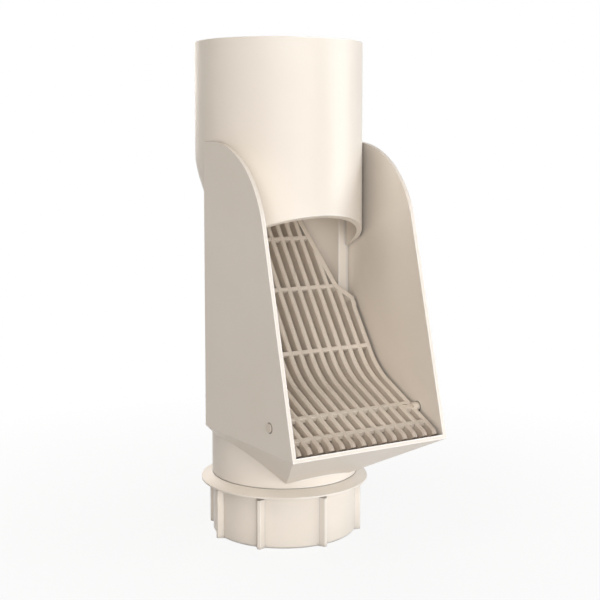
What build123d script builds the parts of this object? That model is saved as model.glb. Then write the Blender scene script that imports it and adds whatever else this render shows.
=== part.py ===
from build123d import *
import os
from math import asin, cos, radians, sin, tan

# Downpipe leaf trap in moulded plastic.
#
# A downpipe is pushed into the round inlet socket at the top. Its water falls on a sloping
# grate, leaves slide off it and out between two cheeks, and the water runs through a hopper
# into the outlet pipe below, which a ribbed adapter joins to the pipe in the ground.
#
# Millimetres, +Z up, front to -Y. The origin is on the outlet's axis, in its bottom rim.

# Pipes
INLET_R = 53.0              # outside of the inlet socket
OUTLET_R = 46.5             # outside of the outlet pipe and of the half pipe above it
WALL = 2.5                  # every wall of the housing
TOP_Z = 310.0               # top rim of the inlet socket
SOCKET_LEAD = 1.0           # chamfer inside the socket's mouth
SOCKET_STOP = 1.0           # ledge in front, under the pushed-in pipe
OUTLET_Z = 37.5             # bottom rim of the housing, on the adapter's seat
OUTLET_CHAMFER = 0.4        # round the outside of that rim
SHOULDER_TOP_Z = 240.5      # the socket starts to narrow behind
SHOULDER_BOTTOM_Z = 197.0   # the half pipe starts
RIM_FRONT_Z = 204.0         # lowest point of the socket's front, on its outside
RIM_SLOPE = 26.0            # the socket's front rim falls towards the back, degrees

# Cheeks and hopper
CHEEK_PROUD = 0.8           # the cheeks' outsides beyond the socket's
CHEEK_BACK_Y = 5.9
CHEEK_TOP_Z = 248.2
CHEEK_ARC_R = 63.7          # rounded top front of each cheek
FRONT_LEAN = 14.4           # the cheeks' front edges lean back, degrees
MOUTH_Y = -99.1             # front bottom edge of the cheeks
HOPPER_TOP_Z = 71.7
HOPPER_BOTTOM_Z = 40.8
FLOOR_SLOPE = 27.7          # front facet of the hopper, degrees
SIDE_SLOPE = 45.0           # side facets of the hopper, degrees

# Leaf grate
PIVOT_Y = -73.2
PIVOT_Z = 86.5
PIN_R = 2.7
PIN_CLEARANCE = 0.06        # radial, in the cheeks' holes
PIN_PROUD = 0.9             # pin ends beyond the cheeks' outside
PIN_ROOT = 2.5              # pins sunk into the outer bars, whose tops they stand above
TILT = 5.0                  # the grate's top tips forward this far, degrees
TILT_CLEARANCE = 0.3        # left round the noses at full tilt
BARS = 14
BAR_W = 3.3
BAR_DEPTH = 7.0
BAR_CHAMFER = 0.8           # along the top edges
GRATE_GAP = 2.0             # between the outer bars and the cheeks
CHUTE_SLOPE = 54.9          # steep upper part, degrees
LIP_SLOPE = 24.9            # gentle lower part, degrees
BEND_Y = -36.1              # where the two slopes would meet
BEND_R = 45.0
PIVOT_RISE = 0.8            # top of the bars above the pivot's axis
NOSE_Y = -96.5
NOSE_R = 6.0
WAIST_Y = -6.3              # the grate starts to narrow here
WAIST_IN = 3.8              # its narrowed part starts this far inside the half pipe's bore
WAIST_RUN = 5.6             # depth of the narrowing, front to back
HEAD_TAPER = 19.0           # each side of the narrowed part leans in, degrees in plan
SEAT_CLEARANCE = 0.3        # between the grate and the half pipe
CROSSBAR_YS = (20.4, -1.0, -26.5, -69.5, -86.5)
CROSSBAR_W = 2.6
CROSSBAR_DEPTH = 3.2
CROSSBAR_SINK = 0.3         # below the bars' tops
CARRIER_W = 4.0             # short bar that backs each pin, between the last two bars

# Outlet adapter
SLEEVE_CLEARANCE = 0.1
SLEEVE_WALL = 1.9
SLEEVE_H = 4.5
SEAT_W = 2.9                # flat seat under the housing's rim
FLANGE_PROUD = 0.4          # the flange's edge beyond the socket's outside
FLANGE_DROP = 3.3           # the flange's top falls this far to its edge
FLANGE_EDGE = 1.0
FLANGE_ROOT = 2.0
SPIGOT_R = 46.0
SPIGOT_WALL = 2.6
SPIGOT_CHAMFER = 0.8
RIB_R = 49.4
RIB_TOP_Z = 30.5
RIB_BASE_W = 5.4
RIB_FACE_W = 1.7
RIB_ANGLES = (0, 49.5, 90, 132, 180, 228, 270, 310.5)   # from the front, degrees

# Worked out
INLET_Y = INLET_R - OUTLET_R            # the two pipes' fronts are in line
CHEEK_X = INLET_R + CHEEK_PROUD         # outside of each cheek
BORE_R = INLET_R - WALL                 # inside of the socket
HALF_BORE_R = OUTLET_R - WALL           # inside of the half pipe and the outlet pipe
FLANGE_R = INLET_R + FLANGE_PROUD
STRIP_Y = CHEEK_BACK_Y - WALL           # front of the flat strips beside the half pipe
GRATE_X = CHEEK_X - WALL - GRATE_GAP    # outside of the outer bars
BAR_PITCH = (2 * GRATE_X - BAR_W) / (BARS - 1)
WAIST_X = HALF_BORE_R - WAIST_IN
BEND_Z = PIVOT_Z + PIVOT_RISE + (BEND_Y - PIVOT_Y) * tan(radians(LIP_SLOPE))
FAR = 400.0                             # longer than anything here


def disc_solid(radius, y, bottom, top):
    """A full round cylinder on a vertical axis."""
    return Pos(0, y, bottom) * Cylinder(radius, top - bottom, align=(Align.CENTER, Align.CENTER, Align.MIN))


def behind(y):
    """A block that holds everything behind y."""
    return Pos(0, y, 0) * Box(FAR, FAR, 2 * FAR, align=(Align.CENTER, Align.MIN, Align.CENTER))


def ahead_of(y):
    """A block that holds everything in front of y."""
    return Pos(0, y, 0) * Box(FAR, FAR, 2 * FAR, align=(Align.CENTER, Align.MAX, Align.CENTER))


def side_profile(points, radii=None):
    """A face in the YZ plane from (y, z) points, with a radius at the named corners."""
    outline = Polyline(*[(0, y, z) for y, z in points], close=True)
    face = make_face(outline)
    for corner, radius in (radii or {}).items():
        near = Vector(0, *points[corner])
        face = fillet(face.vertices().sort_by_distance(near)[0], radius)
    return face


def swept_across(face, half_width):
    """A side profile given its width, to both sides of the middle."""
    return extrude(face, amount=half_width, dir=(1, 0, 0), both=True)


def envelope(inset):
    """The block between the cheeks' outsides, over the hopper's facets, shrunk by inset.

    With an inset it also runs out through the mouth and the open top, so that the
    difference of the two is a shell of even wall.
    """
    floor_rise = inset / cos(radians(FLOOR_SLOPE))
    side_shift = inset / sin(radians(SIDE_SLOPE))
    run = (HOPPER_TOP_Z - HOPPER_BOTTOM_Z) / tan(radians(FLOOR_SLOPE))
    lean = tan(radians(FRONT_LEAN))
    back = CHEEK_BACK_Y - inset
    bottom = HOPPER_BOTTOM_Z
    if inset:
        ahead = FAR / 4
        fall = ahead * tan(radians(FLOOR_SLOPE))
        side = side_profile([
            (back, bottom),
            (MOUTH_Y + run + floor_rise / tan(radians(FLOOR_SLOPE)), bottom),
            (MOUTH_Y - ahead, HOPPER_TOP_Z + floor_rise + fall),
            (MOUTH_Y - ahead, TOP_Z),
            (back, TOP_Z)])
    else:
        corner_y = MOUTH_Y + (CHEEK_TOP_Z - HOPPER_TOP_Z) * lean
        side = side_profile([
            (back, bottom),
            (MOUTH_Y + run, bottom),
            (MOUTH_Y, HOPPER_TOP_Z),
            (corner_y, CHEEK_TOP_Z),
            (back, CHEEK_TOP_Z)], {3: CHEEK_ARC_R})
    half = CHEEK_X - inset
    foot = CHEEK_X - side_shift - (HOPPER_TOP_Z - bottom) / tan(radians(SIDE_SLOPE))
    knee_z = HOPPER_TOP_Z + (half - CHEEK_X + side_shift) * tan(radians(SIDE_SLOPE))
    section = Polyline((-foot, 0, bottom), (foot, 0, bottom), (half, 0, knee_z), (half, 0, TOP_Z),
                       (-half, 0, TOP_Z), (-half, 0, knee_z), close=True)
    across = extrude(make_face(section), amount=FAR, dir=(0, 1, 0), both=True)
    return swept_across(side, CHEEK_X + WALL) & across


def shoulder(inset):
    """The smooth narrowing from the socket's circle to the half pipe's, as a full solid."""
    sections = []
    steps = 6
    for step in range(steps + 1):
        t = step / steps
        ease = t * t * (3 - 2 * t)
        z = SHOULDER_TOP_Z + (SHOULDER_BOTTOM_Z - SHOULDER_TOP_Z) * t
        radius = INLET_R + (OUTLET_R - INLET_R) * ease - inset
        centre = Plane((0, INLET_Y * (1 - ease), z))
        sections.append(centre * Circle(radius))
    return loft(sections)


def socket_front():
    """The front of the socket below the shoulder, cut off along the slanting rim."""
    front_y = INLET_Y - INLET_R
    slope = tan(radians(RIM_SLOPE))
    low = RIM_FRONT_Z - (STRIP_Y + WALL / 2 - front_y) * slope
    block = side_profile([
        (front_y - WALL, RIM_FRONT_Z + WALL * slope),
        (STRIP_Y + WALL / 2, low),
        (STRIP_Y + WALL / 2, SHOULDER_TOP_Z),
        (front_y - WALL, SHOULDER_TOP_Z)])
    round_front = disc_solid(INLET_R, INLET_Y, low - WALL, SHOULDER_TOP_Z)
    return swept_across(block, CHEEK_X) & round_front


def housing():
    """Socket, shoulder, half pipe, cheeks, hopper and outlet pipe: one moulding."""
    outlet = disc_solid(OUTLET_R, 0, OUTLET_Z, SHOULDER_BOTTOM_Z)
    outlet = chamfer(outlet.edges().sort_by(Axis.Z)[0], OUTLET_CHAMFER)
    body = envelope(0) + outlet + shoulder(0)
    body -= envelope(WALL)
    body += socket_front()
    body += disc_solid(INLET_R, INLET_Y, SHOULDER_TOP_Z, TOP_Z)

    body -= disc_solid(BORE_R, INLET_Y, SHOULDER_TOP_Z, TOP_Z)
    low_front = disc_solid(BORE_R - SOCKET_STOP, INLET_Y, HOPPER_TOP_Z, SHOULDER_TOP_Z)
    body -= low_front & ahead_of(STRIP_Y)
    half_bore = disc_solid(HALF_BORE_R, 0, HOPPER_TOP_Z, SHOULDER_BOTTOM_Z) + shoulder(WALL)
    body -= half_bore & behind(0)
    body -= disc_solid(HALF_BORE_R, 0, OUTLET_Z, HOPPER_TOP_Z)

    hole = Cylinder(PIN_R + PIN_CLEARANCE, FAR, rotation=(0, 90, 0))
    body -= Pos(0, PIVOT_Y, PIVOT_Z) * hole
    mouth = body.edges().group_by(Axis.Z)[-1].sort_by(SortBy.RADIUS)[0]
    return chamfer(mouth, SOCKET_LEAD)


def bar_top(y):
    """Height and slope in radians of the bars' tops at y."""
    steep, gentle = radians(CHUTE_SLOPE), radians(LIP_SLOPE)
    reach = BEND_R * tan((steep - gentle) / 2)
    centre_y = BEND_Y - reach * cos(gentle) - BEND_R * sin(gentle)
    centre_z = BEND_Z - reach * sin(gentle) + BEND_R * cos(gentle)
    if y < centre_y + BEND_R * sin(gentle):
        return BEND_Z + (y - BEND_Y) * tan(gentle), gentle
    if y > centre_y + BEND_R * sin(steep):
        return BEND_Z + (y - BEND_Y) * tan(steep), steep
    slope = asin((y - centre_y) / BEND_R)
    return centre_z - BEND_R * cos(slope), slope


def bar_profile():
    """Side view of a bar: steep chute, bend, gentle lip and round nose."""
    steep, gentle = radians(CHUTE_SLOPE), radians(LIP_SLOPE)
    middle = (steep + gentle) / 2
    shift = BAR_DEPTH / cos((steep - gentle) / 2)
    back_y = INLET_Y + INLET_R
    back_z = bar_top(back_y)[0]
    nose_z = bar_top(NOSE_Y)[0]
    face = side_profile([
        (back_y, back_z),
        (BEND_Y, BEND_Z),
        (NOSE_Y, nose_z),
        (NOSE_Y, nose_z - BAR_DEPTH / cos(gentle)),
        (BEND_Y + shift * sin(middle), BEND_Z - shift * cos(middle)),
        (back_y, back_z - BAR_DEPTH / cos(steep))],
        {1: BEND_R, 4: BEND_R + BAR_DEPTH})
    tip = face.vertices().sort_by_distance(Vector(0, NOSE_Y, nose_z))[0]
    return fillet(tip, NOSE_R)


def bar():
    """One bar before it is trimmed, its top edges chamfered, in the middle of the grate."""
    solid = swept_across(bar_profile(), BAR_W / 2)
    under = BAR_DEPTH / 2

    def on_top(edge):
        middle = edge @ 0.5
        runs_along = abs(middle.X) > BAR_W / 4 and edge.length > BAR_W
        return runs_along and middle.Z > bar_top(middle.Y)[0] - under

    return chamfer(solid.edges().filter_by(on_top), BAR_CHAMFER)


def hopper_at_full_tilt():
    """The hopper's floor and facets with their clearance, turned back by the full tilt."""
    block = Pos(0, MOUTH_Y, HOPPER_TOP_Z) * Box(2 * CHEEK_X, FAR / 4, FAR / 8)
    walls = block - envelope(WALL + TILT_CLEARANCE)
    return walls.rotate(Axis((0, PIVOT_Y, PIVOT_Z), (1, 0, 0)), -TILT)


def grate_outline(inset):
    """The grate's outline, cut square through the bars' steep part and drawn in by inset."""
    slope = radians(CHUTE_SLOPE)
    plane = Plane(origin=(0, WAIST_Y, bar_top(WAIST_Y)[0]), x_dir=(1, 0, 0),
                  z_dir=(0, -sin(slope), cos(slope)))
    knee = WAIST_RUN / cos(slope)
    beyond = (INLET_Y + INLET_R - WAIST_Y) / cos(slope)
    end_x = WAIST_X - (beyond - knee) * cos(slope) * tan(radians(HEAD_TAPER))
    half = [(GRATE_X, -FAR / 3), (GRATE_X, 0), (WAIST_X, knee), (end_x, beyond)]
    mirrored = [(-x, v) for x, v in reversed(half)]
    face = make_face(Polyline(*half, *mirrored, close=True))
    if inset:
        face = offset(face, -inset, kind=Kind.INTERSECTION)
    return extrude(plane * face, amount=FAR / 4, both=True)


def crossbar(y, width):
    """A slim bar right across the grate, let in just under the bars' tops."""
    z, slope = bar_top(y)
    section = Pos(0, -CROSSBAR_SINK - CROSSBAR_DEPTH / 2) * Rectangle(width, CROSSBAR_DEPTH)
    plane = Plane(origin=(0, y, z), x_dir=(0, cos(slope), sin(slope)), z_dir=(1, 0, 0))
    return extrude(plane * section, amount=GRATE_X - BAR_W / 2, both=True)


def leaf_grate():
    """Bars, rim, crossbars and pivot pins: one moulding."""
    head_r = HALF_BORE_R - SEAT_CLEARANCE
    front = ahead_of(STRIP_Y - SEAT_CLEARANCE)
    trim = grate_outline(0) & (disc_solid(head_r, 0, 0, TOP_Z) + front)
    inside = grate_outline(BAR_W) & (disc_solid(head_r - BAR_W, 0, 0, TOP_Z) + front)
    trim -= hopper_at_full_tilt()

    rim = swept_across(bar_profile(), GRATE_X) & (trim - inside)
    grate = rim & behind(WAIST_Y - BAR_W)
    template = bar()
    for number in range(BARS):
        x = -GRATE_X + BAR_W / 2 + number * BAR_PITCH
        grate += (Pos(x, 0, 0) * template) & trim
    for y in CROSSBAR_YS:
        grate += crossbar(y, CROSSBAR_W) & trim
    for side in (-1, 1):
        inner, outer = GRATE_X - PIN_ROOT, CHEEK_X + PIN_PROUD
        pin = Cylinder(PIN_R, outer - inner, rotation=(0, 90, 0))
        grate += Pos(side * (inner + outer) / 2, PIVOT_Y, PIVOT_Z) * pin
        outer_cell = Pos(side * (GRATE_X - (BAR_W + BAR_PITCH) / 2), 0, 0) * Box(BAR_PITCH, FAR, FAR)
        grate += crossbar(PIVOT_Y, CARRIER_W) & outer_cell
    return grate


def outlet_adapter():
    """Sleeve, sloping flange and ribbed spigot, bonded into the outlet pipe."""
    sleeve_out = HALF_BORE_R - SLEEVE_CLEARANCE
    sleeve_in = sleeve_out - SLEEVE_WALL
    edge_z = OUTLET_Z - FLANGE_DROP
    root_z = OUTLET_Z - FLANGE_ROOT
    spigot_in = SPIGOT_R - SPIGOT_WALL
    widen_z = root_z - FLANGE_ROOT
    section = Polyline(
        (sleeve_in, OUTLET_Z + SLEEVE_H),
        (sleeve_out - SPIGOT_CHAMFER, OUTLET_Z + SLEEVE_H),
        (sleeve_out, OUTLET_Z + SLEEVE_H - SPIGOT_CHAMFER),
        (sleeve_out, OUTLET_Z),
        (sleeve_out + SEAT_W, OUTLET_Z),
        (FLANGE_R, edge_z),
        (FLANGE_R, edge_z - FLANGE_EDGE),
        (SPIGOT_R, root_z),
        (SPIGOT_R, SPIGOT_CHAMFER),
        (SPIGOT_R - SPIGOT_CHAMFER, 0),
        (spigot_in, 0),
        (spigot_in, widen_z - (spigot_in - sleeve_in)),
        (sleeve_in, widen_z),
        close=True)
    adapter = revolve(make_face(Plane.XZ * section), Axis.Z)
    for angle in RIB_ANGLES:
        adapter += Rot(0, 0, angle) * rib()
    return adapter


def rib():
    """One tapered rib at the front of the spigot, rooted in its wall."""
    root = SPIGOT_R - SPIGOT_WALL / 2
    plan = Polyline(
        (-RIB_BASE_W / 2, -root), (-RIB_BASE_W / 2, -SPIGOT_R), (-RIB_FACE_W / 2, -RIB_R),
        (RIB_FACE_W / 2, -RIB_R), (RIB_BASE_W / 2, -SPIGOT_R), (RIB_BASE_W / 2, -root), close=True)
    return extrude(make_face(plan), amount=RIB_TOP_Z)


def main():
    os.makedirs("parts", exist_ok=True)
    parts = {"housing": housing(), "leaf_grate": leaf_grate(), "outlet_adapter": outlet_adapter()}
    for name, shape in parts.items():
        shape.label = name
        export_step(shape, f"parts/{name}.step")
        print(name, "volume %.0f" % shape.volume, "solids", len(shape.solids()))


main()
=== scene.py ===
# %% [markdown]
# # A downpipe leaf trap in cream moulded plastic
# A rainwater downpipe ends in the round socket at the top. The water drops on a sloping grate,
# leaves slide off it between the two cheeks, and the water leaves through the ribbed spigot.
# The solids come from the CAD model and hold every shape. This lesson gives them a camera,
# their plastic, a floor and light.

# %% Load the solids
import math

import bpy
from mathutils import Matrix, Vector


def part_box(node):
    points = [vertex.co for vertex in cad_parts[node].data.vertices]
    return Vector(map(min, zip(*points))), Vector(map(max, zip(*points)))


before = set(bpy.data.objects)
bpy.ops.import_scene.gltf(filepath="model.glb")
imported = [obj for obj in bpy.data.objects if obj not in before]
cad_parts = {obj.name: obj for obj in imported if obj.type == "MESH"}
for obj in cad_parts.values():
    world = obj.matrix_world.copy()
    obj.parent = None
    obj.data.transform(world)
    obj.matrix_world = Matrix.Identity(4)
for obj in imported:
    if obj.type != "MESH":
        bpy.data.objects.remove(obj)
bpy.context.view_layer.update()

for name, piece in sorted(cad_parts.items()):
    low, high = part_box(name)
    size = [round(1000 * (b - a), 1) for a, b in zip(low, high)]
    print(name, "is", size, "mm and has", len(piece.data.polygons), "faces")

# %% [markdown]
# ## The camera
# The photograph was taken from the front left, a little above the grate. Blender turns a camera
# about X to tip it and about Z to swing it. Uprights stay nearly upright in the picture, as with
# an architect's lens, so a part of the tilt is made with a small vertical shift instead.

# %% Place the camera
SWING = 31.66          # degrees to the left of straight in front
TIP = -5.34            # degrees, negative is below level
STAND = (-0.38043, -0.63612, 0.2494)
SHIFT = -0.085         # of the picture's width
FRAME_PIXELS = 600
FOCAL_PIXELS = 1168.4

camera_data = bpy.data.cameras.new("camera")
camera_data.sensor_width = 36.0
camera_data.lens = FOCAL_PIXELS / FRAME_PIXELS * camera_data.sensor_width
camera_data.shift_y = SHIFT
camera = bpy.data.objects.new("camera", camera_data)
camera.location = STAND
camera.rotation_euler = (math.radians(90 + TIP), 0, math.radians(-SWING))
bpy.context.scene.collection.objects.link(camera)
bpy.context.scene.camera = camera
print("lens", round(camera_data.lens, 1), "mm")

# %% [markdown]
# ## A way to write finishes as sums
# A finish is made of nodes. Written out one by one they hide the idea, so this class wraps one
# output of a node, and plain Python maths on it adds the Math nodes. Every other node comes from
# one method: its type, its settings, then the values or links of its sockets.

# %% One socket that can be used in sums
class Shade:
    """An output of a node in a finish, ready for maths."""

    def __init__(self, tree, socket=None):
        self.tree = tree
        self.socket = socket

    def node(self, kind, settings=None, inputs=None, output=0):
        """Add a node: its settings first, then its sockets. Gives one of its outputs."""
        made = self.tree.nodes.new(kind)
        for name, value in (settings or {}).items():
            setattr(made, name, value)
        for name, value in (inputs or {}).items():
            if isinstance(value, Shade):
                self.tree.links.new(value.socket, made.inputs[name])
            else:
                made.inputs[name].default_value = value
        return Shade(self.tree, made.outputs[output])

    def maths(self, operation, first, second):
        return self.node("ShaderNodeMath", {"operation": operation}, {0: first, 1: second})

    def __add__(self, other):
        return self.maths("ADD", self, other)

    def __radd__(self, other):
        return self.maths("ADD", other, self)

    def __sub__(self, other):
        return self.maths("SUBTRACT", self, other)

    def __rsub__(self, other):
        return self.maths("SUBTRACT", other, self)

    def __mul__(self, other):
        return self.maths("MULTIPLY", self, other)

    def __rmul__(self, other):
        return self.maths("MULTIPLY", other, self)

    def vector(self, operation, other, output=0):
        """Vector maths with another direction or place. A length or product is output 1."""
        return self.node("ShaderNodeVectorMath", {"operation": operation},
                         {0: self, 1: other}, output)

    def clamped(self, low, high):
        """Stretch low to high over 0 to 1, with nothing beyond."""
        ends = {"Value": self, "From Min": low, "From Max": high}
        return self.node("ShaderNodeMapRange", {"clamp": True}, ends)

    def blend(self, first, second):
        """A colour between two, with this socket as the mask."""
        sockets = {0: self, 6: first, 7: second}
        return self.node("ShaderNodeMix", {"data_type": "RGBA"}, sockets, output=2)

    def forward(self):
        """How far a place or a direction goes to the front, which is minus Y here."""
        return 0 - self.node("ShaderNodeSeparateXYZ", None, {0: self}, output=1)

    def feed(self, shader, name):
        """Link this socket to one of a shader's."""
        self.tree.links.new(self.socket, shader.inputs[name])


# %% [markdown]
# ## Colours
# Colours are picked as a screen shows them, and Blender wants them linear, so one helper turns
# them. The plastic is a warm cream that is nearly white where the light falls full on it. The
# grate is the same plastic a tone deeper, which is painted shade for the pocket between the
# cheeks where it lies.

# %% Turn screen colours into linear ones
def linear(red, green, blue):
    """A colour from 0 to 255 on screen as Blender's linear colour."""
    parts = []
    for part in (red, green, blue):
        part /= 255
        parts.append(part / 12.92 if part <= 0.04045 else ((part + 0.055) / 1.055) ** 2.4)
    return (*parts, 1.0)


def shifted(colour, steps):
    """A screen colour moved by a few steps in red, green and blue, as a linear colour."""
    return linear(*(min(part + step, 255) for part, step in zip(colour, steps)))


CREAM = (239, 231, 221)
# The grate's cream, darkened as painted shade.
SHADED_GRATE_CREAM = (226, 215, 202)
print("cream is", [round(part, 3) for part in linear(*CREAM)])

# %% [markdown]
# ## Edges, with painted highlights
# No moulded edge is truly sharp. Cutting real fillets would change the solids, which have to
# stay as they are, so the edges are rounded in the shading with a Bevel node. Where its normal
# leaves the true one there is an edge, and that difference is the mask for edges painted paler,
# partly as rubbed edges and partly as a painted highlight. The mouth's rims face forward and
# catch the light over their whole width, and that light is painted on them as a near white
# highlight. A wider Bevel finds them, but only on faces that look to the front.

# %% Find edges and rims
EDGE_R = 0.0004    # metres that an edge's rounding takes
RIM_R = 0.0014     # metres, so that it spans a rim of 2.5 mm
# The near white of the highlight painted on the mouth's rims.
RIM_HIGHLIGHT = (255, 253, 250)


def bevel(start, radius):
    """The surface's normal with every edge rounded."""
    return start.node("ShaderNodeBevel", {"samples": 6}, {"Radius": radius})


def turned(rounded, sharp):
    """How far a rounded normal has turned from the true one, from 0."""
    return 1 - rounded.vector("DOT_PRODUCT", sharp, output=1)


def painted_rim_highlights(start, sharp):
    """The forward-facing rims of the mouth, as a mask for their painted highlight."""
    return turned(bevel(start, RIM_R), sharp).clamped(0.005, 0.04) * sharp.forward().clamped(0.9, 0.96)


print("edges are rounded by", 1000 * EDGE_R, "mm")

# %% [markdown]
# ## Corners, with painted shade
# Pale plastic shows its shape by the shade in its corners, and here that shade is painted into the
# colour. Two Ambient Occlusion nodes measure how closed in a point is: one looks 3 mm far and
# paints a fine dark line of shade in creases and where two pieces meet, and one looks 30 mm far
# and paints a soft shade beside the pipe and under the hopper.

# %% Find corners
CREASE_SHADE_REACH = 0.003     # metres
SHADE_REACH = 0.03


def closed_in(start, reach, low, high):
    """How closed in a point is within reach, as a mask."""
    open_share = start.node("ShaderNodeAmbientOcclusion", {"samples": 8}, {"Distance": reach}, output=1)
    return (1 - open_share).clamped(low, high)


print("corners are looked for within", 1000 * CREASE_SHADE_REACH, "and", 1000 * SHADE_REACH, "mm")

# %% [markdown]
# ## Marks on one piece, both painted shade
# Two marks belong to one piece each. In front of each pin the shadow in the gap of the cheek's
# hole is painted dark: everything of the housing that is within 3 mm of a line just in front of
# the pins. And the bars' noses are painted a little darker, as the shade that falls on their fronts.

# %% Make the two marks
PIN_GAP = (0, -0.0735, 0.0865)    # metres: a point on the line across the part
PIN_GAP_R = 0.0030
PIN_GAP_BLUR = 0.0004
# The tone of the shadow painted in the pins' gap.
PIN_GAP_SHADOW_TONE = (70, 60, 50)
NOSE_FROM, NOSE_TO = 0.082, 0.096    # metres in front of the outlet's axis
# The tone of the shade painted on the bars' noses.
NOSE_SHADE_TONE = (150, 132, 116)


def pin_gap_shadow(place):
    """The painted shadow in the gap in front of each pin, as a mask."""
    beside = place.vector("SUBTRACT", PIN_GAP).vector("MULTIPLY", (0, 1, 1))
    apart = beside.node("ShaderNodeVectorMath", {"operation": "LENGTH"}, {0: beside}, output=1)
    return 0.85 * (1 - apart.clamped(PIN_GAP_R, PIN_GAP_R + PIN_GAP_BLUR))


def shaded_noses(place):
    """The ends of the bars, as a mask for the shade painted on them."""
    return 0.5 * place.forward().clamped(NOSE_FROM, NOSE_TO)


print("noses darken over", round(1000 * (NOSE_TO - NOSE_FROM)), "mm")

# %% [markdown]
# ## Moulded plastic
# The real surface is injection moulded and satin. Its colour drifts a little where the melt
# flowed, the shine varies with the mould's polish, and a fine orange-peel texture breaks up
# reflections. Noise textures in the object's own coordinates make all three, so that they stay
# on the piece when it moves. The colour then goes through the masks above, one after another,
# which paint the highlights on edges and rims, the shade in corners and the marks.

# %% The finish of all three mouldings
DEEPER = (-5, -6, -8)    # the flow's darker streaks
EDGE_SHEEN_AND_WEAR = (8, 9, 11)       # painted edge highlight and rubbed edges
SHADE_SHARE = 0.75       # of the screen colour, for the shade painted in corners


def cloud(place, size, detail):
    """Noise of a size in metres."""
    return place.node("ShaderNodeTexNoise", None, {"Vector": place, "Scale": 1 / size, "Detail": detail})


def moulded_plastic(name, colour, flow, polish, peel, rim_highlight, crease_shade, shade, mark=None, tone=None):
    """A satin plastic. flow and peel are the sizes in metres of the colour's drift and of the
    texture, polish is the roughness. The three numbers after peel say how strongly the painted
    highlight on the rims, the painted shade in creases and the painted soft shade in corners
    show, and mark is a mask painted with tone."""
    material = bpy.data.materials.new(name)
    material.use_nodes = True
    tree = material.node_tree
    plastic = tree.nodes["Principled BSDF"]
    plastic.inputs["IOR"].default_value = 1.49
    start = Shade(tree)
    place = start.node("ShaderNodeTexCoord", output=3)
    sharp = start.node("ShaderNodeNewGeometry", output=1)
    soft = bevel(start, EDGE_R)
    edge = turned(soft, sharp).clamped(0.02, 0.2)

    tint = cloud(place, flow, 3.0).clamped(0.3, 0.7).blend(shifted(colour, DEEPER), linear(*colour))
    # Edges go paler, partly as rubbing and partly as a painted highlight.
    tint = edge.blend(tint, shifted(colour, EDGE_SHEEN_AND_WEAR))
    # Painted highlight: the mouth's forward-facing rims turn near white.
    tint = (painted_rim_highlights(start, sharp) * rim_highlight).blend(tint, linear(*RIM_HIGHLIGHT))
    # Painted shade: corners and creases take a darker copy of the colour.
    painted_shade_colour = linear(*(part * SHADE_SHARE for part in colour))
    tint = (closed_in(start, CREASE_SHADE_REACH, 0.15, 0.65) * crease_shade).blend(tint, painted_shade_colour)
    tint = (closed_in(start, SHADE_REACH, 0.35, 0.9) * shade).blend(tint, painted_shade_colour)
    if mark:
        tint = mark(place).blend(tint, linear(*tone))
    tint.feed(plastic, "Base Color")

    shine = polish + 0.10 * (cloud(place, flow / 3, 2.0) - 0.5) - 0.06 * edge
    shine.feed(plastic, "Roughness")

    grain = {"Strength": 0.12, "Distance": 0.0002, "Height": cloud(place, peel, 2.0), "Normal": soft}
    start.node("ShaderNodeBump", None, grain).feed(plastic, "Normal")
    return material


# %% [markdown]
# ## Dress the three pieces
# The grate gets smaller streaks than the big housing and no painted highlight on rims. The
# adapter's corners get the most painted shade, because the flange lies in the hopper's shade.

# %% Give each piece its finish
# The housing's mark is the shadow painted at the pins, the grate's the shade painted on its noses.
FINISHES = {
    "housing": moulded_plastic(
        "housing_plastic", CREAM, flow=0.09, polish=0.42, peel=0.0011,
        rim_highlight=1.0, crease_shade=0.8, shade=0.45, mark=pin_gap_shadow, tone=PIN_GAP_SHADOW_TONE),
    "leaf_grate": moulded_plastic(
        "grate_plastic", SHADED_GRATE_CREAM, flow=0.04, polish=0.46, peel=0.0009,
        rim_highlight=0.0, crease_shade=0.5, shade=0.0, mark=shaded_noses, tone=NOSE_SHADE_TONE),
    "outlet_adapter": moulded_plastic(
        "adapter_plastic", CREAM, flow=0.05, polish=0.40, peel=0.0010,
        rim_highlight=0.5, crease_shade=1.0, shade=0.8),
}

for name, finish in FINISHES.items():
    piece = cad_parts[name]
    piece.data.materials.clear()
    piece.data.materials.append(finish)
    print(name, "wears", finish.name)

# %% [markdown]
# ## The floor
# The picture's ground is pure white and shows hardly any shadow. The floor is a real sheet, so
# that light bounces up under the hopper. The camera and reflections see it as white mixed with
# a small part of the lit floor, which keeps a faint shadow round the part and fades out. Inside
# the spigot they see the floor just as it is lit, or the bore would look like a white disc.

# %% Show white to the camera only
def white_to_the_camera(tree, plain, share):
    """Mix a shader with plain white that only the camera and reflections see."""
    start = Shade(tree)
    seen = start.node("ShaderNodeLightPath", output=0)
    mirrored = start.node("ShaderNodeLightPath", output=3)
    both = start.maths("MAXIMUM", seen, mirrored)
    white = start.node("ShaderNodeEmission", None, {"Color": (1, 1, 1, 1), "Strength": 1.0})
    return start.node("ShaderNodeMixShader", None, {0: both * share, 1: plain, 2: white})


# %% Lay the floor
REACH = 4.0            # metres each way
PAPER_GREY = 0.8
floor_mesh = bpy.data.meshes.new("floor")
corners = [(-REACH, -REACH, 0), (REACH, -REACH, 0), (REACH, REACH, 0), (-REACH, REACH, 0)]
floor_mesh.from_pydata(corners, [], [(0, 1, 2, 3)])
floor = bpy.data.objects.new("floor", floor_mesh)
bpy.context.scene.collection.objects.link(floor)

paper = bpy.data.materials.new("floor_paper")
paper.use_nodes = True
tree = paper.node_tree
lit_paper = tree.nodes["Principled BSDF"]
lit_paper.inputs["Base Color"].default_value = (PAPER_GREY, PAPER_GREY, PAPER_GREY, 1)
lit_paper.inputs["Roughness"].default_value = 0.9
floor_mesh.materials.append(paper)
print("floor", 2 * REACH, "m square")

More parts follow.
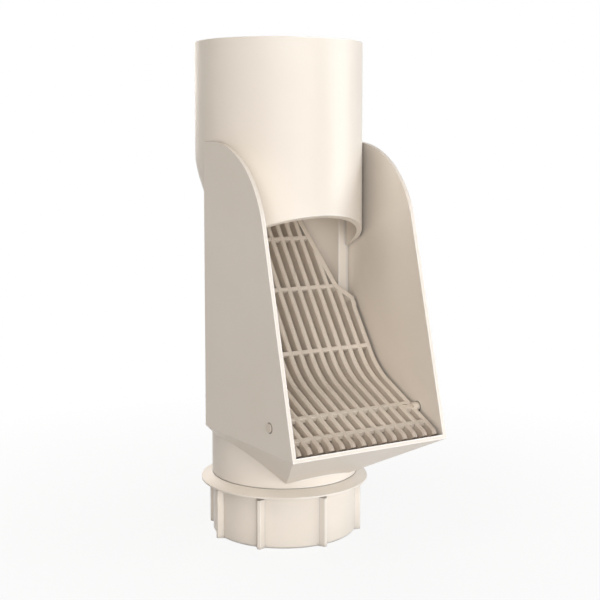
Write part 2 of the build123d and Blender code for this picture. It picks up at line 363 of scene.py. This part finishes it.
# %% Whiten the floor round the part
SHADOW_SHARE = 0.12    # how much of the lit floor is seen near the part
FADE_FROM = 0.05       # metres from the part's axis
FADE_TO = 0.4
BORE_R = 0.0436
SPIGOT_R = 0.046

surface = Shade(tree, lit_paper.outputs[0])
spot = surface.node("ShaderNodeTexCoord", output=3)
away = surface.node("ShaderNodeVectorMath", {"operation": "LENGTH"}, {0: spot}, output=1)
inside = 1 - away.clamped(BORE_R, SPIGOT_R)
shadowed = SHADOW_SHARE * (1 - away.clamped(FADE_FROM, FADE_TO))
whiteness = 1 - shadowed - (1 - SHADOW_SHARE) * inside
white_to_the_camera(tree, surface, whiteness).feed(tree.nodes["Material Output"], "Surface")
print("the floor's shadow fades out", FADE_TO, "m from the part")

# %% [markdown]
# ## The light
# A pale product is photographed among broad, soft lamps. The low lamps in front and on the right
# turn the round pipe from grey on the left to white. The left cheek gets only the lamp near the
# camera and a warm one from high up, and stays in half shade. One more behind keeps the back
# readable in other views. Each lamp is given by where it stands as seen from the part: degrees
# to the right of the front and degrees up, then its width and height in metres, its strength in
# watts, and its tone.

# %% Hang the lamps
WHITE = (1.0, 1.0, 1.0)
WARM = (1.0, 0.92, 0.84)
LAMPS = {
    "near_left": (-30, 10, 1.0, 1.0, 11.0, WHITE),
    "low_front": (0, 4, 1.0, 0.6, 10.0, WHITE),
    "low_right": (60, 4, 1.0, 0.6, 14.0, WHITE),
    "high_left": (-70, 50, 1.0, 1.0, 10.0, WARM),
    "behind": (172, 22, 1.2, 1.2, 13.0, WARM),
}
AIM = Vector((0, -0.03, 0.17))
AWAY = 1.8    # metres from there to each lamp

for name, (side, up, width, height, watts, tone) in LAMPS.items():
    side, up = math.radians(side), math.radians(up)
    direction = Vector((math.sin(side) * math.cos(up), -math.cos(side) * math.cos(up), math.sin(up)))
    lamp_data = bpy.data.lights.new(name, "AREA")
    lamp_data.shape = "RECTANGLE"
    lamp_data.size = width
    lamp_data.size_y = height
    lamp_data.energy = watts
    lamp_data.color = tone
    lamp = bpy.data.objects.new(name, lamp_data)
    lamp.location = AIM + AWAY * direction
    lamp.rotation_euler = (-direction).to_track_quat("-Z", "Y").to_euler()
    bpy.context.scene.collection.objects.link(lamp)
    print(name, "lamp", watts, "W,", width, "by", height, "m")

# %% [markdown]
# ## The room
# All light on the part comes from the lamps and the floor. The room gives none: its own strength
# is 0, and it is only seen as white, by the camera and in reflections.

# %% Paint the room white
world = bpy.data.worlds.new("room")
world.use_nodes = True
bpy.context.scene.world = world
tree = world.node_tree
tree.nodes["Background"].inputs["Strength"].default_value = 0.0
dark_room = Shade(tree, tree.nodes["Background"].outputs[0])
white_to_the_camera(tree, dark_room, 1.0).feed(tree.nodes["World Output"], "Surface")
bpy.context.scene.view_settings.view_transform = "Standard"
print("the room is", world.name)
